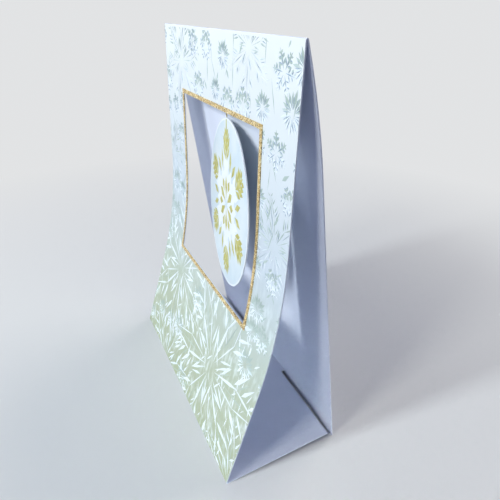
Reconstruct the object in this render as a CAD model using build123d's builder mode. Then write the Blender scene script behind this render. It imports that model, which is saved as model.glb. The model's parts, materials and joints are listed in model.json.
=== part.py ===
"""Standing greeting card with a window and a hanging medallion.

One sheet of card is folded at the top into two panels, and at the bottom of the front panel into a base
flap whose tab goes through a slit in the back panel and holds the tent open. The front panel bows forward
towards its foot, because the base flap is longer than the tent would stand open by itself. A glitter strip
frames the window, and a round card medallion hangs behind it on a short thread.

Millimetres. Z = 0 is the table, X runs along the card's width, and the front faces -Y. The origin is on
the table, in the middle of the card's width and depth.
"""

import os
from math import asin, atan2, cos, degrees, radians, sin, sqrt, tan

from build123d import *

# Sheet of card
card_width = 127.0
sheet = 0.4

# Front panel, outer face, from the base fold up to the point where both panels' faces would meet
front_lower_run = 81.0
front_lower_lean = 17.3
front_upper_run = 100.0
front_upper_lean = 1.1
front_bow_radius = 230.0

# Back panel, outer face, from that point down to the table
back_upper_run = 23.9
back_upper_lean = 17.0
back_bow_reach = 20.0

# Outside radii of the two folds
ridge_radius = 0.5
base_fold_radius = 0.6

# Base flap, which holds the back panel out, with its tab and the slit that the tab goes through
flap_length = 53.6
flap_rise = 3.3
flap_end_gap = 2.3
tab_width = 37.0
tab_reach = 7.6
tab_root = 2.0
tab_corner = 3.0
slit_clearance = 0.3

# Window in the front panel, a little right of its middle
window_shift = 1.25
window_width = 78.0
window_height = 81.1
window_sill = 65.0

# Glitter strip round the window
border_width = 1.8
border_thickness = 0.25
glue_line = 0.05

# Medallion behind the window, hung askew with its rim near the back panel, off the window's middle
medallion_diameter = 75.0
medallion_thickness = 0.5
medallion_rim_gap = 0.5
medallion_shift = 1.15
medallion_drop = 2.0
medallion_turn = -11.2
medallion_lean = 3.1
hang_angle = 99.0

# Thread, glued inside the back panel below the fold
thread_diameter = 0.5
thread_glued_height = 18.8
thread_end_gap = 0.3
thread_bend_share = 0.45


def along(start, run, lean):
    """End of a straight run that leans from the upright by some degrees, towards +Y where positive."""
    return Vector(start.X, start.Y + run * sin(radians(lean)), start.Z + run * cos(radians(lean)))


# Base fold: its round touches the table, and the whole depth is centred on the origin
base_half_angle = radians(90 - front_lower_lean - flap_rise) / 2
base_bisector = radians(flap_rise) + base_half_angle
base_round_offset = base_fold_radius / sin(base_half_angle)
flap_depth = (flap_length + tab_reach) * cos(radians(flap_rise))
base_front_loss = base_round_offset * cos(base_bisector) - base_fold_radius
base_corner = Vector(
    0,
    -(base_front_loss + flap_depth) / 2,
    base_fold_radius - base_round_offset * sin(base_bisector),
)

# Corners of the sheet's outer face, seen from the side
front_bend = along(base_corner, front_lower_run, front_lower_lean)
ridge_point = along(front_bend, front_upper_run, front_upper_lean)
back_bend = along(ridge_point, -back_upper_run, -back_upper_lean)
flap_plane = Plane(
    origin=base_corner,
    x_dir=(1, 0, 0),
    z_dir=(0, -sin(radians(flap_rise)), cos(radians(flap_rise))),
)
flap_end = flap_plane.from_local_coords(Vector(0, flap_length, 0))
flap_end_top = flap_plane.from_local_coords(Vector(0, flap_length, sheet))
push = flap_end_top - back_bend
push_lean = atan2(push.Y, -push.Z) + asin((sheet + flap_end_gap) / push.length)
back_lower_lean = degrees(push_lean)
back_bow_radius = back_bow_reach / tan(radians(back_upper_lean - back_lower_lean) / 2)
foot_lift = sheet * sin(push_lean)
back_lower_run = (back_bend.Z - foot_lift) / cos(push_lean)
back_foot = along(back_bend, -back_lower_run, -back_lower_lean)
front_face_points = [(p.Y, p.Z) for p in (base_corner, front_bend, ridge_point)]

# Window edges
window_head = window_sill + window_height
window_middle = (window_sill + window_head) / 2
window_cut_y = ridge_point.Y + sheet

os.makedirs("parts", exist_ok=True)

# Folded card: the profile of the whole sheet, then the window, the slit and the tab through it
with BuildPart() as folded_card:
    with BuildSketch(Plane.YZ):
        with BuildLine():
            FilletPolyline(
                (flap_end.Y, flap_end.Z),
                *front_face_points,
                (back_bend.Y, back_bend.Z),
                (back_foot.Y, back_foot.Z),
                radius=[base_fold_radius, front_bow_radius, ridge_radius, back_bow_radius],
            )
            offset(amount=sheet, side=Side.RIGHT)
        make_face()
    extrude(amount=card_width / 2, both=True)
    with BuildSketch(Plane.XZ.offset(-window_cut_y)):
        with Locations((window_shift, window_middle)):
            Rectangle(window_width, window_height)
    extrude(amount=window_cut_y - base_corner.Y, mode=Mode.SUBTRACT)
    with BuildSketch(flap_plane.offset(-slit_clearance)):
        with Locations((0, flap_length)):
            Rectangle(tab_width + 2 * slit_clearance, tab_reach, align=(Align.CENTER, Align.MIN))
    extrude(amount=sheet + 2 * slit_clearance, mode=Mode.SUBTRACT)
    with BuildSketch(flap_plane) as tab_outline:
        with Locations((0, flap_length - tab_root)):
            Rectangle(tab_width, tab_root + tab_reach, align=(Align.CENTER, Align.MIN))
        fillet(tab_outline.vertices().group_by(Axis.Y)[-1], radius=tab_corner)
    extrude(amount=sheet)
folded_card.part.label = "folded_card"
export_step(folded_card.part, "parts/folded_card.step")

# Glitter strip: a thin skin on the bowed front face, trimmed to a frame round the window
with BuildPart() as window_border:
    with BuildSketch(Plane.YZ):
        with BuildLine():
            FilletPolyline(*front_face_points, radius=front_bow_radius)
            offset(amount=glue_line + border_thickness, side=Side.LEFT)
        make_face()
        with BuildLine():
            FilletPolyline(*front_face_points, radius=front_bow_radius)
            offset(amount=glue_line, side=Side.LEFT)
        make_face(mode=Mode.SUBTRACT)
    extrude(amount=card_width / 2, both=True)
    with BuildSketch(Plane.XZ.offset(-window_cut_y)):
        with Locations((window_shift, window_middle)):
            Rectangle(window_width + 2 * border_width, window_height + 2 * border_width)
            Rectangle(window_width, window_height, mode=Mode.SUBTRACT)
    extrude(amount=window_cut_y - base_corner.Y, mode=Mode.INTERSECT)
window_border.part.label = "window_border"
export_step(window_border.part, "parts/window_border.step")

# Medallion: a round of card, turned and leaning on its thread, with its rim gap to the back panel's lower run
medallion_facing = Vector(
    sin(radians(medallion_turn)) * cos(radians(medallion_lean)),
    -cos(radians(medallion_turn)) * cos(radians(medallion_lean)),
    sin(radians(medallion_lean)),
)
back_inward = Vector(0, -cos(push_lean), -sin(push_lean))
facing_share = medallion_facing.dot(back_inward)
rim_swing = medallion_diameter / 2 * sqrt(1 - facing_share**2)
rim_half_depth = medallion_thickness / 2 * facing_share
medallion_clearance = sheet + medallion_rim_gap + rim_swing + rim_half_depth
medallion_z = window_middle - medallion_drop
medallion_rise = (medallion_z - back_bend.Z) * sin(push_lean)
medallion_y = back_bend.Y - (medallion_clearance + medallion_rise) / cos(push_lean)
medallion_centre = Vector(window_shift + medallion_shift, medallion_y, medallion_z)
medallion_plane = Plane(
    origin=medallion_centre,
    x_dir=(cos(radians(medallion_turn)), sin(radians(medallion_turn)), 0),
    z_dir=medallion_facing,
)
with BuildPart() as medallion:
    with BuildSketch(medallion_plane):
        Circle(medallion_diameter / 2)
    extrude(amount=medallion_thickness / 2, both=True)
medallion.part.label = "medallion"
export_step(medallion.part, "parts/medallion.step")

# Thread: down the bowed inside of the back panel, then straight down to the medallion's rim
bow_half_turn = radians(back_upper_lean - back_lower_lean) / 2
bow_inward = radians((back_upper_lean + back_lower_lean) / 2)
bow_reach = back_bow_radius / cos(bow_half_turn)
bow_centre = back_bend - Vector(0, cos(bow_inward), sin(bow_inward)) * bow_reach
thread_arc_radius = back_bow_radius - sheet - glue_line - thread_diameter / 2
hang_point = medallion_plane.from_local_coords(
    Vector(cos(radians(hang_angle)), sin(radians(hang_angle)), 0) * (medallion_diameter / 2)
)
thread_end = hang_point + Vector(0, 0, thread_end_gap)
leave_z = bow_centre.Z + sqrt(thread_arc_radius**2 - (hang_point.Y - bow_centre.Y) ** 2)
thread_leave = Vector(hang_point.X, hang_point.Y, leave_z)
top_z = leave_z + thread_glued_height
top_y = bow_centre.Y + sqrt(thread_arc_radius**2 - (top_z - bow_centre.Z) ** 2)
thread_top = Vector(hang_point.X, top_y, top_z)
glued_run = thread_leave - thread_top
hanging_run = thread_end - thread_leave
thread_turn = radians(glued_run.get_angle(hanging_run))
thread_bend_radius = thread_bend_share * min(glued_run.length, hanging_run.length) / tan(thread_turn / 2)
with BuildPart() as hanging_thread:
    with BuildLine() as thread_path:
        FilletPolyline(thread_top, thread_leave, thread_end, radius=thread_bend_radius)
    with BuildSketch(Plane(origin=thread_top, z_dir=glued_run)):
        Circle(thread_diameter / 2)
    sweep(path=thread_path.line)
hanging_thread.part.label = "hanging_thread"
export_step(hanging_thread.part, "parts/hanging_thread.step")

thread_length = sum(edge.length for edge in thread_path.edges())
print(f"thread bend radius {thread_bend_radius:.1f} mm, length {thread_length:.1f} mm")
print(f"thread axis at x {hang_point.X:.2f}, y {hang_point.Y:.2f}, z {hang_point.Z:.2f}")
print(f"thread points {thread_top}, {thread_leave}, {thread_end}")
print(f"medallion centre {medallion_centre}, ridge point {ridge_point}")
print(f"back foot {back_foot}, flap end {flap_end}")
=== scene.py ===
import json
import math
import random

import bpy
from mathutils import Matrix, Vector

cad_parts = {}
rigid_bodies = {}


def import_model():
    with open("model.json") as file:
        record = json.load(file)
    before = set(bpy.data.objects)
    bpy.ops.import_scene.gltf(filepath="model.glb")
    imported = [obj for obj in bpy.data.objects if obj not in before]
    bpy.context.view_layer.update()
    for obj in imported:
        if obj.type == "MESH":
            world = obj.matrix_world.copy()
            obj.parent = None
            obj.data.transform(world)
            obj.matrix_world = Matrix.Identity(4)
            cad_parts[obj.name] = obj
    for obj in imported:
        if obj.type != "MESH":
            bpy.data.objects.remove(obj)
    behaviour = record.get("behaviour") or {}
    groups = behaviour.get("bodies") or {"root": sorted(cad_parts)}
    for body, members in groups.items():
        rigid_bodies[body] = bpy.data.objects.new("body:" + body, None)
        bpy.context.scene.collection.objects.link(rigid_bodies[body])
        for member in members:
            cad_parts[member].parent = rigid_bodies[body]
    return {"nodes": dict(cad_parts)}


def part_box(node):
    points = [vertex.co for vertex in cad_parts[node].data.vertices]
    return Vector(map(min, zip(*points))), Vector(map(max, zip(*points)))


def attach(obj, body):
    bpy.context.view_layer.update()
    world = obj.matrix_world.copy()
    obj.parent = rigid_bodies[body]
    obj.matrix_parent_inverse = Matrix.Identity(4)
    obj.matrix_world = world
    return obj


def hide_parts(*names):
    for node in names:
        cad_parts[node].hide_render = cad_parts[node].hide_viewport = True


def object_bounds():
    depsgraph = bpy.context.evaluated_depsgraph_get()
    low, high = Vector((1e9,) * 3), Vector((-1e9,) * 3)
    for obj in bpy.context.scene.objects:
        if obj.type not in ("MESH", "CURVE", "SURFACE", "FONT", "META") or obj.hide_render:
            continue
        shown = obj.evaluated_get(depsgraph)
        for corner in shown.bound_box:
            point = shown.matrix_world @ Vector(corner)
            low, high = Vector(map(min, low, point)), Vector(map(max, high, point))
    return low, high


bpy.ops.object.select_all(action="SELECT")
bpy.ops.object.delete()
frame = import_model()
cad_low, cad_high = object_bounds()
scene = bpy.context.scene
scene.view_settings.view_transform = "Standard"


# Folded sheet
# One sheet of pearl-coated board, creased at the top and at the foot of its front panel. The base flap's
# tab goes through a slit in the back panel. The front panel is printed outside, and the rest is plain.
def screen_colour(red, green, blue):
    """Linear colour, with alpha, of a colour given as it looks on a screen, from 0 to 255."""
    linear = []
    for part in (red, green, blue):
        share = part / 255
        linear.append(share / 12.92 if share <= 0.04045 else ((share + 0.055) / 1.055) ** 2.4)
    return (*linear, 1.0)


def new_finish(name):
    """A material with an empty tree but for its shader, as (material, tree, shader)."""
    finish = bpy.data.materials.new(name)
    finish.use_nodes = True
    return finish, finish.node_tree, finish.node_tree.nodes["Principled BSDF"]


def add_node(tree, kind, **settings):
    """A node of one kind, with its properties or, by socket name, its input values."""
    node = tree.nodes.new(kind)
    for key, value in settings.items():
        if key in node.inputs:
            node.inputs[key].default_value = value
        else:
            setattr(node, key, value)
    return node


def feed(tree, source, socket):
    """Links a socket to another one, or sets it to a plain value."""
    if isinstance(source, bpy.types.NodeSocket):
        tree.links.new(source, socket)
    else:
        socket.default_value = source


def ranged(tree, value, low, high, new_low=0.0, new_high=1.0):
    """Output of a value that is taken from one range to another, and kept inside it."""
    node = add_node(tree, "ShaderNodeMapRange")
    feed(tree, value, node.inputs["Value"])
    for name, end in (("From Min", low), ("From Max", high), ("To Min", new_low), ("To Max", new_high)):
        node.inputs[name].default_value = end
    return node.outputs["Result"]


def ramped(tree, value, stops):
    """Output of a colour ramp over a value, with (place, colour) stops."""
    node = add_node(tree, "ShaderNodeValToRGB")
    ramp = node.color_ramp
    while len(ramp.elements) < len(stops):
        ramp.elements.new(1.0)
    for element, (place, colour) in zip(ramp.elements, stops):
        element.position = place
        element.color = colour
    feed(tree, value, node.inputs["Fac"])
    return node.outputs["Color"]


def mixed(tree, share, first, second):
    """Output of a mix of two colours by a share from 0 to 1, each a socket or a plain value."""
    node = add_node(tree, "ShaderNodeMix", data_type="RGBA")
    feed(tree, share, node.inputs[0])
    feed(tree, first, node.inputs[6])
    feed(tree, second, node.inputs[7])
    return node.outputs[2]


def worked(tree, operation, first, second):
    """Output of a sum, product or other operation on two values."""
    node = add_node(tree, "ShaderNodeMath", operation=operation)
    feed(tree, first, node.inputs[0])
    feed(tree, second, node.inputs[1])
    return node.outputs["Value"]


def board_group():
    """Node group of pressed board: a faint mottle of its colour and the height of its fibres."""
    group = bpy.data.node_groups.new("pressed_board", "ShaderNodeTree")
    group.interface.new_socket("Vector", in_out="INPUT", socket_type="NodeSocketVector")
    group.interface.new_socket("Colour", in_out="INPUT", socket_type="NodeSocketColor")
    group.interface.new_socket("Mottled", in_out="OUTPUT", socket_type="NodeSocketColor")
    group.interface.new_socket("Fibres", in_out="OUTPUT", socket_type="NodeSocketFloat")
    source = group.nodes.new("NodeGroupInput")
    result = group.nodes.new("NodeGroupOutput")
    cloud = add_node(group, "ShaderNodeTexNoise", Scale=90.0, Detail=3.0)
    tint = add_node(group, "ShaderNodeVectorMath", operation="SCALE")
    fibre = add_node(group, "ShaderNodeTexNoise", Scale=2600.0, Detail=4.0)
    group.links.new(source.outputs["Vector"], cloud.inputs["Vector"])
    group.links.new(source.outputs["Colour"], tint.inputs[0])
    group.links.new(ranged(group, cloud.outputs["Fac"], 0.0, 1.0, 0.97, 1.03), tint.inputs["Scale"])
    group.links.new(tint.outputs["Vector"], result.inputs["Mottled"])
    group.links.new(source.outputs["Vector"], fibre.inputs["Vector"])
    group.links.new(fibre.outputs["Fac"], result.inputs["Fibres"])
    return group


pressed_board = board_group()


def board_surface(tree, shader, colour, fibre_depth):
    """Gives a shader the pressed board's mottle over a colour, and the relief of its fibres."""
    place = add_node(tree, "ShaderNodeTexCoord")
    board = add_node(tree, "ShaderNodeGroup", node_tree=pressed_board)
    relief = add_node(tree, "ShaderNodeBump", Strength=0.25, Distance=fibre_depth)
    tree.links.new(place.outputs["Object"], board.inputs["Vector"])
    feed(tree, colour, board.inputs["Colour"])
    tree.links.new(board.outputs["Mottled"], shader.inputs["Base Color"])
    tree.links.new(board.outputs["Fibres"], relief.inputs["Height"])
    tree.links.new(relief.outputs["Normal"], shader.inputs["Normal"])


plain_board, plain_tree, plain_shader = new_finish("plain_board")
plain_shader.inputs["Roughness"].default_value = 0.5
board_surface(plain_tree, plain_shader, screen_colour(236, 240, 249), fibre_depth=0.00004)

cut_edge, edge_tree, edge_shader = new_finish("cut_edge")
edge_shader.inputs["Roughness"].default_value = 0.85
board_surface(edge_tree, edge_shader, screen_colour(242, 244, 246), fibre_depth=0.00008)

# Frosted ground of the print, all brushed: sage at the foot, ice blue round the window, white at the top.
# The sage is the pearl foil's own tint, and its whitening up the panel is painted reflection of bright
# light.
brush_scale = (520.0, 520.0, 95.0)
brush_turn = math.radians(24)
printed_board_and_reflection, printed_tree, printed_shader = new_finish("printed_board_and_reflection")
printed_shader.inputs["Roughness"].default_value = 0.6
printed_shader.inputs["Specular IOR Level"].default_value = 0.3
ground_place = add_node(printed_tree, "ShaderNodeTexCoord")
ground_axes = add_node(printed_tree, "ShaderNodeSeparateXYZ")
printed_tree.links.new(ground_place.outputs["Object"], ground_axes.inputs["Vector"])
ground_rise = ranged(printed_tree, ground_axes.outputs["Z"], 0.0, cad_high.z)
pearl_tint_and_reflection = ramped(printed_tree, ground_rise, [
    (0.0, screen_colour(173, 181, 145)),
    (0.22, screen_colour(180, 189, 161)),
    (0.38, screen_colour(189, 199, 187)),
    (0.55, screen_colour(206, 215, 219)),
    (0.75, screen_colour(222, 228, 227)),
    (1.0, screen_colour(234, 237, 231)),
])
brush_map = add_node(printed_tree, "ShaderNodeMapping", Rotation=(0.0, brush_turn, 0.0), Scale=brush_scale)
brush = add_node(printed_tree, "ShaderNodeTexNoise", Scale=1.0, Detail=3.0)
printed_tree.links.new(ground_place.outputs["Object"], brush_map.inputs["Vector"])
printed_tree.links.new(brush_map.outputs["Vector"], brush.inputs["Vector"])
patches = add_node(printed_tree, "ShaderNodeTexNoise", Scale=75.0, Detail=2.0)
printed_tree.links.new(ground_place.outputs["Object"], patches.inputs["Vector"])
brush_marks = ranged(printed_tree, brush.outputs["Fac"], 0.46, 0.66)
patch_share = ranged(printed_tree, patches.outputs["Fac"], 0.40, 0.62)
foot_share = ranged(printed_tree, ground_rise, 0.62, 0.36, 0.15, 0.55)
brush_share = worked(printed_tree, "MULTIPLY", patch_share, foot_share)
brushed = worked(printed_tree, "MULTIPLY", brush_marks, brush_share)
frosted_ground_and_reflection = mixed(printed_tree, brushed, pearl_tint_and_reflection, screen_colour(238, 246, 244))
board_surface(printed_tree, printed_shader, frosted_ground_and_reflection, fibre_depth=0.00002)

card_sheet = bpy.data.objects.new("card_sheet", frame["nodes"]["folded_card"].data.copy())
scene.collection.objects.link(card_sheet)
bpy.ops.object.select_all(action="DESELECT")
card_sheet.select_set(True)
bpy.context.view_layer.objects.active = card_sheet
bpy.ops.object.mode_set(mode="EDIT")
bpy.ops.mesh.customdata_custom_splitnormals_clear()
bpy.ops.mesh.select_all(action="SELECT")
bpy.ops.mesh.remove_doubles(threshold=0.000001)
bpy.ops.object.mode_set(mode="OBJECT")
bpy.ops.object.shade_smooth_by_angle(angle=math.radians(25))
sheet_finishes = [plain_board, printed_board_and_reflection, cut_edge]
facing_share = 0.9
card_sheet.data.materials.clear()
for finish in sheet_finishes:
    card_sheet.data.materials.append(finish)
for face in card_sheet.data.polygons:
    if face.normal.y < -facing_share and face.normal.z > 0:
        finish = printed_board_and_reflection
    elif abs(face.normal.x) > facing_share:
        finish = cut_edge
    else:
        finish = plain_board
    face.material_index = sheet_finishes.index(finish)
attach(card_sheet, "card")
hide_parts("folded_card")


# Ice crystals
# Frost print outside the front panel, pressed into the board with pearl ink. Every crystal is a low relief
# of four-sided needles in six arms. Large ones grow from the foot, and smaller ones drift above.
# Each crystal's ink is painted sage towards its top and white lower down: painted emboss shade.
relief_sink = 0.00003
line_rise = 0.6
arm_count = 6
side_margin = 0.0002
head_margin = 0.0010
panel_half = cad_high.x - side_margin
panel_foot = 0.0012
panel_head = cad_high.z - head_margin
border_low, border_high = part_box("window_border")
border_clear = 0.0001


def ice_needle(reach, width, belly, line):
    """One needle from the origin along +X, widest and highest at its belly. A line needle, painted darker
    as emboss shadow, stands higher.
    """
    bpy.ops.mesh.primitive_cone_add(vertices=4, radius1=0.5, radius2=0.0, depth=1.0)
    needle = bpy.context.object
    for vertex in needle.data.vertices:
        at_belly = abs(vertex.co.x) < 0.01
        vertex.co.x = reach * (belly if at_belly else vertex.co.x + 0.5)
        vertex.co.y *= width
        vertex.co.z = (vertex.co.z + 0.5) * (1 + line_rise * line)
    drawn = needle.data.attributes.new("line", "FLOAT", "POINT")
    drawn.data.foreach_set("value", [line] * len(needle.data.vertices))
    return needle


def joined(pieces, name):
    """One object of several, which aren't kept."""
    bpy.ops.object.select_all(action="DESELECT")
    for piece in pieces:
        piece.select_set(True)
    bpy.context.view_layer.objects.active = pieces[0]
    bpy.ops.object.join()
    whole = bpy.context.object
    whole.name = name
    return whole


def crystal(name, needles):
    """Crystal of unit radius, from one arm's needles as (reach, angle, root, side, width, belly, line)."""
    bpy.ops.object.select_all(action="DESELECT")
    arm = []
    for reach, angle, root, side, width, belly, line in needles:
        needle = ice_needle(reach, width, belly, line)
        needle.data.transform(Matrix.Rotation(math.radians(angle), 4, "Z"))
        needle.data.transform(Matrix.Translation((root, side, 0)))
        arm.append(needle)
    whole = joined(arm, name)
    copies_turn = math.radians(360 - 360 / arm_count)
    bpy.ops.object.mode_set(mode="EDIT")
    bpy.ops.mesh.select_all(action="SELECT")
    bpy.ops.mesh.spin(
        steps=arm_count - 1, dupli=True, angle=copies_turn, center=(0, 0, 0), axis=(0, 0, 1)
    )
    bpy.ops.object.mode_set(mode="OBJECT")
    return whole


def pair(reach, angle, root, side, width, belly, line):
    """The two needles that branch off an arm at one root, to both sides."""
    left = (reach, angle, root, side, width, belly, line)
    right = (reach, -angle, root, -side, width, belly, line)
    return [left, right]


fern_crystal = crystal("fern_crystal", [
    (1.0, 0.0, 0.0, 0.0, 0.20, 0.55, 0.0),
    *pair(0.40, 54, 0.24, 0.0, 0.17, 0.55, 0.0),
    *pair(0.33, 54, 0.46, 0.0, 0.15, 0.55, 0.0),
    *pair(0.20, 54, 0.68, 0.0, 0.12, 0.5, 0.0),
    (0.94, 0.0, 0.04, 0.0, 0.08, 0.4, 1.0),
    *pair(0.32, 54, 0.28, 0.0, 0.08, 0.5, 1.0),
    *pair(0.25, 54, 0.52, 0.0, 0.08, 0.5, 1.0),
])
leaf_crystal = crystal("leaf_crystal", [
    (0.98, 0.0, 0.02, 0.0, 0.22, 0.62, 0.0),
    (0.84, 20.0, 0.04, 0.0, 0.17, 0.65, 0.0),
    (0.84, 40.0, 0.04, 0.0, 0.17, 0.65, 0.0),
    *pair(0.30, 44, 0.40, 0.0, 0.15, 0.5, 0.0),
    (0.70, 10.0, 0.10, 0.0, 0.06, 0.6, 1.0),
    (0.60, 30.0, 0.12, 0.0, 0.06, 0.6, 1.0),
    (0.70, 50.0, 0.10, 0.0, 0.06, 0.6, 1.0),
])
arrow_crystal = crystal("arrow_crystal", [
    (1.0, 0.0, 0.0, 0.0, 0.13, 0.4, 0.0),
    *pair(0.46, 58, 0.32, 0.0, 0.20, 0.45, 0.0),
    *pair(0.28, 58, 0.60, 0.0, 0.16, 0.45, 0.0),
    *pair(0.42, 58, 0.40, 0.0, 0.08, 0.45, 1.0),
    *pair(0.26, 58, 0.68, 0.0, 0.08, 0.45, 1.0),
    (0.34, 30.0, 0.10, 0.0, 0.18, 0.6, 0.0),
])
great_crystal = crystal("great_crystal", [
    (0.50, 11.0, 0.04, 0.0, 0.036, 0.7, 0.0),
    (0.50, -11.0, 0.04, 0.0, 0.018, 0.7, 0.0),
    (0.54, -11.0, 0.45, 0.095, 0.026, 0.3, 0.0),
    (0.54, 11.0, 0.45, -0.095, 0.016, 0.3, 0.0),
    (0.56, 0.0, 0.22, 0.0, 0.014, 0.5, 0.8),
    *pair(0.24, 42, 0.20, 0.05, 0.030, 0.35, 0.0),
    *pair(0.30, 42, 0.44, 0.10, 0.046, 0.30, 0.0),
    *pair(0.24, 42, 0.58, 0.08, 0.040, 0.30, 0.0),
    *pair(0.17, 42, 0.72, 0.05, 0.036, 0.30, 0.0),
    *pair(0.10, 42, 0.86, 0.02, 0.030, 0.35, 0.0),
    *pair(0.22, 42, 0.51, 0.09, 0.020, 0.40, 0.9),
    (0.36, 30.0, 0.06, 0.02, 0.026, 0.6, 0.0),
    (0.34, 30.0, 0.10, -0.01, 0.012, 0.6, 0.8),
])
single_needle = ice_needle(1.0, 1.0, 0.4, 0.0)
kinds = [fern_crystal, leaf_crystal, arrow_crystal, great_crystal, single_needle]
copies = []


def lay(kind, across, up, size, turn, height, emboss_shade_share=1.0, emboss_shade_bias=0.0, slimness=1.0):
    """Adds a copy of a crystal on the flat panel, with painted emboss shade that grows with how far up the
    crystal a point is.
    """
    mesh = kind.data.copy()
    mesh.transform(Matrix.Diagonal((1.0, slimness, 1.0, 1.0)))
    mesh.transform(Matrix.Rotation(math.radians(turn), 4, "Z"))
    emboss_shade = mesh.attributes.new("emboss_shade", "FLOAT", "POINT")
    emboss_shade.data.foreach_set("value", [emboss_shade_share * vertex.co.y + emboss_shade_bias for vertex in mesh.vertices])
    mesh.transform(Matrix.Diagonal((size, size, height, 1.0)))
    mesh.transform(Matrix.Translation((across, up, -relief_sink)))
    copies.append(bpy.data.objects.new("crystal_copy", mesh))


# Large white crystals at the foot and fainter ones above, with painted sage shade at their tops, as
# (across, up, radius, turn)
foot_places = [
    (0.024, 0.030, 0.052, 8.0),
    (-0.034, 0.052, 0.046, 38.0),
    (-0.026, -0.004, 0.040, 22.0),
    (0.064, 0.000, 0.030, 48.0),
]
faint_places = [
    (-0.040, 0.160, 0.026, 14.0),
    (0.054, 0.108, 0.021, 44.0),
    (0.030, 0.170, 0.018, 27.0),
    (-0.060, 0.112, 0.022, 3.0),
]
for across, up, radius, turn in foot_places:
    lay(great_crystal, across, up, radius, turn, height=0.00024, emboss_shade_share=0.3, emboss_shade_bias=-0.42)
for across, up, radius, turn in faint_places:
    lay(great_crystal, across, up, radius, turn, height=0.00016, emboss_shade_share=0.9, emboss_shade_bias=0.12)
great_places = foot_places + faint_places

# Small crystals, in staggered rows that are shaken out of line
crystal_seed = 7
drift_pitch = 0.0146
drift_jitter = 0.0036
drift_radii = (0.0056, 0.0088)
drift_height = 0.00014
great_clearing = 0.62
draw = random.Random(crystal_seed)
drift_kinds = [fern_crystal, leaf_crystal, arrow_crystal]
rows = int(cad_high.z / drift_pitch) + 1
columns = int(2 * cad_high.x / drift_pitch) + 2
for row in range(rows):
    for column in range(columns):
        stagger = 0.5 * (row % 2)
        across = (column + stagger - columns / 2) * drift_pitch + draw.uniform(-1, 1) * drift_jitter
        up = (row + 0.5) * drift_pitch + draw.uniform(-1, 1) * drift_jitter
        kind = draw.choice(drift_kinds)
        radius = draw.uniform(*drift_radii)
        turn = draw.uniform(0, 360 / arm_count)
        from_great = min(math.hypot(across - x, up - z) / r for x, z, r, _ in great_places)
        if from_great > great_clearing:
            lay(kind, across, up, radius, turn, drift_height)


def scatter(count, levels, lengths, slims, turns, sway, height, tone):
    """Lays loose needles between two levels, each at one of some turns, give or take a sway in degrees."""
    for _ in range(count):
        across = draw.uniform(-panel_half, panel_half)
        up = draw.uniform(*levels)
        length = draw.uniform(*lengths)
        slimness = draw.uniform(*slims)
        turn = draw.choice(turns) + draw.uniform(-sway, sway)
        lay(single_needle, across, up, length, turn, height, 0.0, tone, slimness)


# Loose needles: white flecks between the large crystals, long sage spears above, and a few broad blades
fleck_levels = (0.0, 0.074)
upper_levels = (0.060, cad_high.z)
scatter(
    count=150, levels=fleck_levels, lengths=(0.004, 0.011), slims=(0.08, 0.20),
    turns=(58, 90, 118), sway=14, height=0.00016, tone=-0.5,
)
scatter(
    count=70, levels=upper_levels, lengths=(0.007, 0.018), slims=(0.035, 0.075),
    turns=(64, 84, 112), sway=10, height=0.00010, tone=0.30,
)
scatter(
    count=46, levels=upper_levels, lengths=(0.005, 0.009), slims=(0.18, 0.34),
    turns=(50, 130), sway=16, height=0.00008, tone=0.24,
)

for copy in copies:
    scene.collection.objects.link(copy)
for kind in kinds:
    bpy.data.objects.remove(kind)
frost = joined(copies, "frost")

# The panel round the window, as strips of (left, right, foot, head)
window_left = border_low.x - border_clear
window_right = border_high.x + border_clear
window_foot = border_low.z - border_clear
window_head = border_high.z + border_clear
strips = [
    (-panel_half, panel_half, panel_foot, window_foot),
    (-panel_half, window_left, window_foot, window_head),
    (window_right, panel_half, window_foot, window_head),
    (-panel_half, panel_half, window_head, panel_head),
]
clipped = []
for left, right, foot, head in strips:
    strip = bpy.data.objects.new("frost_strip", frost.data.copy())
    scene.collection.objects.link(strip)
    bpy.ops.object.select_all(action="DESELECT")
    strip.select_set(True)
    bpy.context.view_layer.objects.active = strip
    bpy.ops.object.mode_set(mode="EDIT")
    for edge, outward in (
        ((left, 0, 0), (-1, 0, 0)),
        ((right, 0, 0), (1, 0, 0)),
        ((0, foot, 0), (0, -1, 0)),
        ((0, head, 0), (0, 1, 0)),
    ):
        bpy.ops.mesh.select_all(action="SELECT")
        bpy.ops.mesh.bisect(plane_co=edge, plane_no=outward, use_fill=True, clear_outer=True)
    bpy.ops.object.mode_set(mode="OBJECT")
    clipped.append(strip)
bpy.data.objects.remove(frost)
front_crystals = joined(clipped, "front_crystals")
ahead_of_card = -0.2


def lay_on_front(mesh):
    """Wraps a flat relief, with its height along Z, onto the outside of the front panel."""
    for vertex in mesh.vertices:
        across, up, height = vertex.co
        place, facing = card_sheet.ray_cast((across, ahead_of_card, up), (0, 1, 0))[1:3]
        vertex.co = place + facing * height


lay_on_front(front_crystals.data)

frost_ink_and_shade, frost_tree, frost_shader = new_finish("frost_ink_and_shade")
frost_shader.inputs["Roughness"].default_value = 0.55
frost_shader.inputs["Specular IOR Level"].default_value = 0.3
frost_emboss_shade = add_node(frost_tree, "ShaderNodeAttribute", attribute_name="emboss_shade")
frost_line = add_node(frost_tree, "ShaderNodeAttribute", attribute_name="line")
frost_place = add_node(frost_tree, "ShaderNodeTexCoord")
frost_axes = add_node(frost_tree, "ShaderNodeSeparateXYZ")
frost_tree.links.new(frost_place.outputs["Object"], frost_axes.inputs["Vector"])
# Ink painted from white low on each crystal to sage high on it: painted emboss shade.
emboss_shaded_pearl = ramped(frost_tree, ranged(frost_tree, frost_emboss_shade.outputs["Fac"], -0.5, 0.5), [
    (0.0, screen_colour(236, 242, 241)),
    (0.42, screen_colour(229, 237, 237)),
    (0.62, screen_colour(186, 201, 191)),
    (1.0, screen_colour(173, 188, 176)),
])
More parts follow.
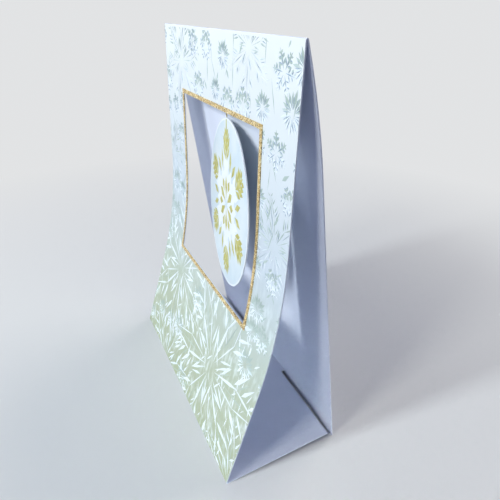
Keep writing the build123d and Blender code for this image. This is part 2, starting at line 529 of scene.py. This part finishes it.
# Line needles are painted darker, grey-green at the foot and blue-grey above: painted emboss shadow.
shadow_lines = ramped(frost_tree, ranged(frost_tree, frost_axes.outputs["Z"], 0.0, cad_high.z), [
    (0.0, screen_colour(170, 185, 156)),
    (0.40, screen_colour(180, 196, 182)),
    (0.62, screen_colour(160, 177, 188)),
    (1.0, screen_colour(154, 172, 186)),
])
frost_tree.links.new(
    mixed(frost_tree, frost_line.outputs["Fac"], emboss_shaded_pearl, shadow_lines),
    frost_shader.inputs["Base Color"],
)
front_crystals.data.materials.clear()
front_crystals.data.materials.append(frost_ink_and_shade)
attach(front_crystals, "card")


# Glitter strip
# A paper strip coated with coarse gold glitter, glued round the window. The coat shows as specks, and the
# largest grains stand out of it at all tilts.
strip_width = 0.0018
strip_height = 0.00030
grain_seed = 21
grain_count = 3600
grain_sizes = (0.00034, 0.00062)
grain_tilt = math.radians(32)
glitter_strip = frame["nodes"]["window_border"]


def gold_glitter_finish(name, grain):
    """Glitter in gold of many tones; grain gives the output, from 0 to 1, that the tone follows."""
    finish, tree, shader = new_finish(name)
    tone = ramped(tree, grain(tree), [
        (0.0, screen_colour(96, 66, 28)),
        (0.3, screen_colour(188, 152, 84)),
        (0.6, screen_colour(222, 194, 128)),
        (1.0, screen_colour(250, 238, 196)),
    ])
    tree.links.new(tone, shader.inputs["Base Color"])
    shader.inputs["Metallic"].default_value = 0.25
    shader.inputs["Roughness"].default_value = 0.35
    return finish


def coat_grain(tree):
    """Tone of the coat: cells as large as its grains."""
    place = add_node(tree, "ShaderNodeTexCoord")
    cells = add_node(tree, "ShaderNodeTexVoronoi", Scale=2400.0)
    tree.links.new(place.outputs["Object"], cells.inputs["Vector"])
    cell_axes = add_node(tree, "ShaderNodeSeparateXYZ")
    tree.links.new(cells.outputs["Color"], cell_axes.inputs["Vector"])
    return cell_axes.outputs["X"]


def single_grain(tree):
    """Tone of a loose grain, the same all over it."""
    return add_node(tree, "ShaderNodeAttribute", attribute_name="grain").outputs["Fac"]


glitter_strip.data.materials.clear()
glitter_strip.data.materials.append(gold_glitter_finish("gold_glitter", coat_grain))

bpy.ops.object.select_all(action="DESELECT")
bpy.ops.mesh.primitive_cone_add(vertices=5, radius1=0.5, radius2=0.16, depth=0.34)
model_grain = bpy.context.object
shuffle = random.Random(grain_seed)
strip_sides = [
    (border_low.x, border_high.x, border_low.z, border_low.z + strip_width),
    (border_low.x, border_high.x, border_high.z - strip_width, border_high.z),
    (border_low.x, border_low.x + strip_width, border_low.z, border_high.z),
    (border_high.x - strip_width, border_high.x, border_low.z, border_high.z),
]
side_areas = [(right - left) * (head - foot) for left, right, foot, head in strip_sides]
grain_inset = 0.0001
grains = []
for _ in range(grain_count):
    left, right, foot, head = shuffle.choices(strip_sides, side_areas)[0]
    size = shuffle.uniform(*grain_sizes)
    reach = size / 2 + grain_inset
    across = shuffle.uniform(left + reach, right - reach)
    up = shuffle.uniform(foot + reach, head - reach)
    mesh = model_grain.data.copy()
    mesh.transform(Matrix.Rotation(shuffle.uniform(0, math.tau), 4, "Z"))
    mesh.transform(Matrix.Rotation(shuffle.uniform(-grain_tilt, grain_tilt), 4, "X"))
    mesh.transform(Matrix.Rotation(shuffle.uniform(-grain_tilt, grain_tilt), 4, "Y"))
    mesh.transform(Matrix.Translation((across, up, strip_height)) @ Matrix.Scale(size, 4))
    tone = mesh.attributes.new("grain", "FLOAT", "POINT")
    tone.data.foreach_set("value", [shuffle.random()] * len(mesh.vertices))
    grains.append(bpy.data.objects.new("grain_copy", mesh))
bpy.data.objects.remove(model_grain)
for grain in grains:
    scene.collection.objects.link(grain)
glitter_grains = joined(grains, "glitter_grains")
lay_on_front(glitter_grains.data)
glitter_grains.data.materials.clear()
glitter_grains.data.materials.append(gold_glitter_finish("loose_glitter", single_grain))
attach(glitter_grains, "card")


# Hanging thread
# A limp twisted thread that carries the medallion. Its upper part is glued inside the back panel, under the
# top fold, and the rest hangs straight down to the medallion's rim.
thread_diameter = 0.0005
thread_route = [
    (-0.002966, -0.003352, 0.170553),
    (-0.002966, 0.001470, 0.151753),
    (-0.002966, 0.001470, 0.140834),
]
thread_curve = bpy.data.curves.new("hanging_thread_line", "CURVE")
thread_curve.dimensions = "3D"
thread_curve.bevel_depth = thread_diameter / 2
thread_curve.use_fill_caps = True
thread_line = thread_curve.splines.new("NURBS")
thread_line.points.add(len(thread_route) - 1)
for point, place in zip(thread_line.points, thread_route):
    point.co = (*place, 1.0)
thread_line.order_u = 3
thread_line.use_endpoint_u = True
thread = bpy.data.objects.new("thread", thread_curve)
scene.collection.objects.link(thread)

twist_scale = 900.0
twist_turn = math.radians(35)
twisted_thread, thread_tree, thread_shader = new_finish("twisted_thread")
thread_shader.inputs["Roughness"].default_value = 0.55
thread_place = add_node(thread_tree, "ShaderNodeTexCoord")
twist_map = add_node(thread_tree, "ShaderNodeMapping", Rotation=(0.0, twist_turn, 0.0))
twist = add_node(thread_tree, "ShaderNodeTexWave", bands_direction="Z", Scale=twist_scale)
twist_relief = add_node(thread_tree, "ShaderNodeBump", Strength=0.6, Distance=0.00006)
thread_tree.links.new(thread_place.outputs["Object"], twist_map.inputs["Vector"])
thread_tree.links.new(twist_map.outputs["Vector"], twist.inputs["Vector"])
thread_tree.links.new(twist.outputs["Fac"], twist_relief.inputs["Height"])
thread_tree.links.new(twist_relief.outputs["Normal"], thread_shader.inputs["Normal"])
# Colour painted darker in the twist's grooves, where the bump is low: painted shade.
thread_tree.links.new(
    mixed(thread_tree, twist.outputs["Fac"], screen_colour(178, 156, 84), screen_colour(226, 212, 146)),
    thread_shader.inputs["Base Color"],
)
thread_curve.materials.append(twisted_thread)
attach(thread, "card")
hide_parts("hanging_thread")


# Medallion
# A round of pale pearl board that hangs on the thread. A snow crystal is pressed on its front in white and
# gold foil, and a thin gold line runs from the crystal's top arm to the rim.
medallion = frame["nodes"]["medallion"]
disc_low, disc_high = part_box("medallion")
disc_centre = (disc_low + disc_high) / 2
front_faces = [face for face in medallion.data.polygons if face.normal.y < -facing_share]
disc_facing = max(front_faces, key=lambda face: face.area).normal.copy()
disc_across = Vector((0, 0, 1)).cross(disc_facing).normalized()
disc_up = disc_facing.cross(disc_across)
disc_radius = max((vertex.co - disc_centre).length for vertex in medallion.data.vertices)
disc_half = max((vertex.co - disc_centre).dot(disc_facing) for vertex in medallion.data.vertices)
hang_turn = math.radians(99)
rim_start = disc_radius - 0.00098
rim_full = disc_radius - 0.00056

pale_board, pale_tree, pale_shader = new_finish("pale_board")
pale_shader.inputs["Roughness"].default_value = 0.4
disc_place = add_node(pale_tree, "ShaderNodeTexCoord")
disc_map = add_node(pale_tree, "ShaderNodeMapping", Location=-disc_centre)
disc_reach = add_node(pale_tree, "ShaderNodeVectorMath", operation="LENGTH")
disc_cloud = add_node(pale_tree, "ShaderNodeTexNoise", Scale=60.0, Detail=2.0)
pale_tree.links.new(disc_place.outputs["Object"], disc_map.inputs["Vector"])
pale_tree.links.new(disc_map.outputs["Vector"], disc_reach.inputs[0])
pale_tree.links.new(disc_place.outputs["Object"], disc_cloud.inputs["Vector"])
disc_ground = mixed(
    pale_tree,
    ranged(pale_tree, disc_cloud.outputs["Fac"], 0.40, 0.62),
    screen_colour(212, 226, 229),
    screen_colour(226, 235, 234),
)
disc_rim = ranged(pale_tree, disc_reach.outputs["Value"], rim_start, rim_full)
rimmed_ground = mixed(pale_tree, disc_rim, disc_ground, screen_colour(244, 248, 248))
board_surface(pale_tree, pale_shader, rimmed_ground, fibre_depth=0.00002)
medallion.data.materials.clear()
medallion.data.materials.append(pale_board)

gold_foil, foil_tree, foil_shader = new_finish("gold_foil")
foil_shader.inputs["Metallic"].default_value = 0.15
foil_shader.inputs["Roughness"].default_value = 0.38
foil_place = add_node(foil_tree, "ShaderNodeTexCoord")
foil_cloud = add_node(foil_tree, "ShaderNodeTexNoise", Scale=420.0, Detail=2.0)
foil_tree.links.new(foil_place.outputs["Object"], foil_cloud.inputs["Vector"])
foil_tone = ramped(foil_tree, foil_cloud.outputs["Fac"], [
    (0.35, screen_colour(178, 170, 62)),
    (0.5, screen_colour(194, 188, 84)),
    (0.65, screen_colour(208, 202, 118)),
])
foil_tree.links.new(foil_tone, foil_shader.inputs["Base Color"])

pearl_foil, pearl_tree, pearl_shader = new_finish("pearl_foil")
pearl_shader.inputs["Roughness"].default_value = 0.3
pearl_place = add_node(pearl_tree, "ShaderNodeTexCoord")
pearl_cloud = add_node(pearl_tree, "ShaderNodeTexNoise", Scale=300.0, Detail=2.0)
pearl_tree.links.new(pearl_place.outputs["Object"], pearl_cloud.inputs["Vector"])
pearl_tone = mixed(
    pearl_tree,
    pearl_cloud.outputs["Fac"],
    screen_colour(238, 246, 247),
    screen_colour(250, 252, 250),
)
pearl_tree.links.new(pearl_tone, pearl_shader.inputs["Base Color"])

white_star = crystal("white_star", [
    (0.64, 0.0, 0.0, 0.0, 0.30, 0.58, 0.0),
    (0.52, 30.0, 0.0, 0.0, 0.26, 0.62, 0.0),
    *pair(0.30, 24, 0.34, 0.02, 0.12, 0.5, 0.0),
])
gold_ferns = crystal("gold_ferns", [
    (0.38, 0.0, 0.52, 0.0, 0.11, 0.45, 0.0),
    *pair(0.24, 42, 0.52, 0.0, 0.075, 0.60, 0.0),
    *pair(0.26, 42, 0.61, 0.0, 0.080, 0.60, 0.0),
    *pair(0.20, 42, 0.70, 0.0, 0.075, 0.60, 0.0),
    *pair(0.14, 42, 0.79, 0.0, 0.065, 0.60, 0.0),
    *pair(0.26, 12, 0.40, 0.18, 0.090, 0.5, 0.0),
    (0.32, 0.0, 0.05, 0.0, 0.120, 0.6, 0.0),
    (0.22, 30.0, 0.13, 0.08, 0.120, 0.55, 0.0),
])
line_middle = 0.91
line_length = 0.16
line_width = 0.036
bpy.ops.mesh.primitive_cube_add(size=1.0)
gold_line = bpy.context.object
gold_line.data.transform(Matrix.Diagonal((line_length, line_width, 1.0, 1.0)))
gold_line.data.transform(Matrix.Translation((line_middle, 0, 0.5)))
disc_turned = Matrix((disc_across, disc_up, disc_facing)).transposed().to_4x4()
foil_sink = 0.000006
disc_seat = Matrix.Translation(disc_centre + disc_facing * (disc_half - foil_sink)) @ disc_turned
for relief, height, foil in (
    (white_star, 0.00005, pearl_foil),
    (gold_ferns, 0.00020, gold_foil),
    (gold_line, 0.00008, gold_foil),
):
    relief.data.transform(Matrix.Rotation(hang_turn, 4, "Z"))
    relief.data.transform(disc_seat @ Matrix.Diagonal((disc_radius, disc_radius, height, 1.0)))
    relief.data.materials.append(foil)
snow_crystal = joined([white_star, gold_ferns, gold_line], "snow_crystal")
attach(snow_crystal, "medallion")


# Stage
# A plain pale floor under soft studio light: a lamp in front, a weaker one to its right, wide soft ones on
# the left and behind, a small low one for the inside, and a cool sky. The floor fades with its distance
# into the one pale tone of the backdrop, and keeps the card's shadow.
floor_half = 40.0
floor_tone = (0.75, 0.74, 0.70)
bounce_tone = (0.22, 0.24, 0.32)
sky_colour = (0.46, 0.55, 1.0)
sky_strength = 0.25
far_tone = (0.76, 0.77, 0.78)
far_start = 0.10
far_full = 0.42
bpy.ops.mesh.primitive_plane_add(size=2 * floor_half, location=(0, 0, 0))
floor = bpy.context.object
floor.name = "floor"


def seen_by_camera(tree):
    """1 for what the camera sees, straight, mirrored or through glass, and 0 for light on the card."""
    path = add_node(tree, "ShaderNodeLightPath")
    mirrored = worked(tree, "ADD", path.outputs["Is Camera Ray"], path.outputs["Is Glossy Ray"])
    seen = worked(tree, "ADD", mirrored, path.outputs["Is Transmission Ray"])
    return worked(tree, "MINIMUM", seen, 1.0)


pale_floor, floor_tree, floor_shader = new_finish("pale_floor")
floor_shader.inputs["Roughness"].default_value = 0.9
floor_shader.inputs["Specular IOR Level"].default_value = 0.0
floor_shader.inputs["Emission Color"].default_value = (*far_tone, 1.0)
floor_seen = seen_by_camera(floor_tree)
floor_place = add_node(floor_tree, "ShaderNodeTexCoord")
floor_reach = add_node(floor_tree, "ShaderNodeVectorMath", operation="LENGTH")
floor_tree.links.new(floor_place.outputs["Object"], floor_reach.inputs[0])
floor_far = ranged(floor_tree, floor_reach.outputs["Value"], far_start, far_full)
unlit_tone = (0.0, 0.0, 0.0)
seen_tone = mixed(floor_tree, floor_far, (*floor_tone, 1.0), (*unlit_tone, 1.0))
floor_tree.links.new(
    mixed(floor_tree, floor_seen, (*bounce_tone, 1.0), seen_tone),
    floor_shader.inputs["Base Color"],
)
floor_tree.links.new(
    worked(floor_tree, "MULTIPLY", floor_seen, floor_far),
    floor_shader.inputs["Emission Strength"],
)
floor.data.materials.append(pale_floor)

card_middle = (0.0, 0.0, 0.09)


def add_lamp(name, travel, distance, width, height, power, colour, lit_point=card_middle, spread=180):
    """A rectangular lamp whose light travels one way onto a point, within a spread of some degrees."""
    data = bpy.data.lights.new(name, "AREA")
    data.shape = "RECTANGLE"
    data.size = width
    data.size_y = height
    data.energy = power
    data.color = colour
    data.spread = math.radians(spread)
    lamp = bpy.data.objects.new(name, data)
    scene.collection.objects.link(lamp)
    heading = Vector(travel).normalized()
    lamp.location = Vector(lit_point) - heading * distance
    lamp.rotation_mode = "QUATERNION"
    lamp.rotation_quaternion = heading.to_track_quat("-Z", "Y")


add_lamp(
    "front_lamp", travel=(0.01, 1.0, -0.62), distance=1.3, width=0.12, height=0.42,
    power=9.8, colour=(0.84, 0.93, 1.0),
)
add_lamp(
    "right_lamp", travel=(-0.31, 1.0, -0.62), distance=1.3, width=0.25, height=0.25,
    power=5.7, colour=(0.95, 0.97, 0.93),
)
add_lamp(
    "back_lamp", travel=(0.12, -1.0, -0.90), distance=1.8, width=1.20, height=1.20,
    power=15.0, colour=(1.0, 0.97, 0.90),
)
add_lamp(
    "left_lamp", travel=(0.86, 0.50, -0.20), distance=2.0, width=1.20, height=0.90,
    power=13.0, colour=(0.78, 0.88, 1.0),
)
add_lamp(
    "low_lamp", travel=(-0.92, 0.40, -0.10), distance=1.0, width=0.16, height=0.04,
    power=0.045, colour=(0.76, 0.87, 1.0), lit_point=(0.0, 0.02, -0.02), spread=15,
)

sky = bpy.data.worlds.new("cool_sky")
sky.use_nodes = True
sky_tree = sky.node_tree
sky_light = sky_tree.nodes["Background"]
sky_light.inputs["Color"].default_value = (*sky_colour, 1.0)
sky_light.inputs["Strength"].default_value = sky_strength
backdrop = add_node(sky_tree, "ShaderNodeBackground")
backdrop.inputs["Color"].default_value = (*far_tone, 1.0)
sky_choice = add_node(sky_tree, "ShaderNodeMixShader")
sky_tree.links.new(seen_by_camera(sky_tree), sky_choice.inputs["Fac"])
sky_tree.links.new(sky_light.outputs["Background"], sky_choice.inputs[1])
sky_tree.links.new(backdrop.outputs["Background"], sky_choice.inputs[2])
sky_tree.links.new(sky_choice.outputs["Shader"], sky_tree.nodes["World Output"].inputs["Surface"])
scene.world = sky


# Camera
# It stands to the right of the card, a little in front of it and about level with its top, where the photo
# was taken. Its focal length is given in pixels of the photo's square frame.
camera_place = Vector((0.16781, -0.07291, 0.18096))
camera_yaw = math.radians(63.222)
camera_pitch = math.radians(29.401)
camera_roll = math.radians(0.693)
focal_pixels = 427.07
image_pixels = 500
camera_data = bpy.data.cameras.new("photo_camera")
camera_data.sensor_width = 36.0
camera_data.lens = camera_data.sensor_width * focal_pixels / image_pixels
camera_data.clip_start = 0.01
camera_data.clip_end = 100.0
camera = bpy.data.objects.new("photo_camera", camera_data)
scene.collection.objects.link(camera)
turned = Matrix.Rotation(camera_yaw, 4, "Z")
tipped = Matrix.Rotation(math.pi / 2 - camera_pitch, 4, "X")
rolled = Matrix.Rotation(camera_roll, 4, "Z")
camera.matrix_world = Matrix.Translation(camera_place) @ turned @ tipped @ rolled
scene.camera = camera
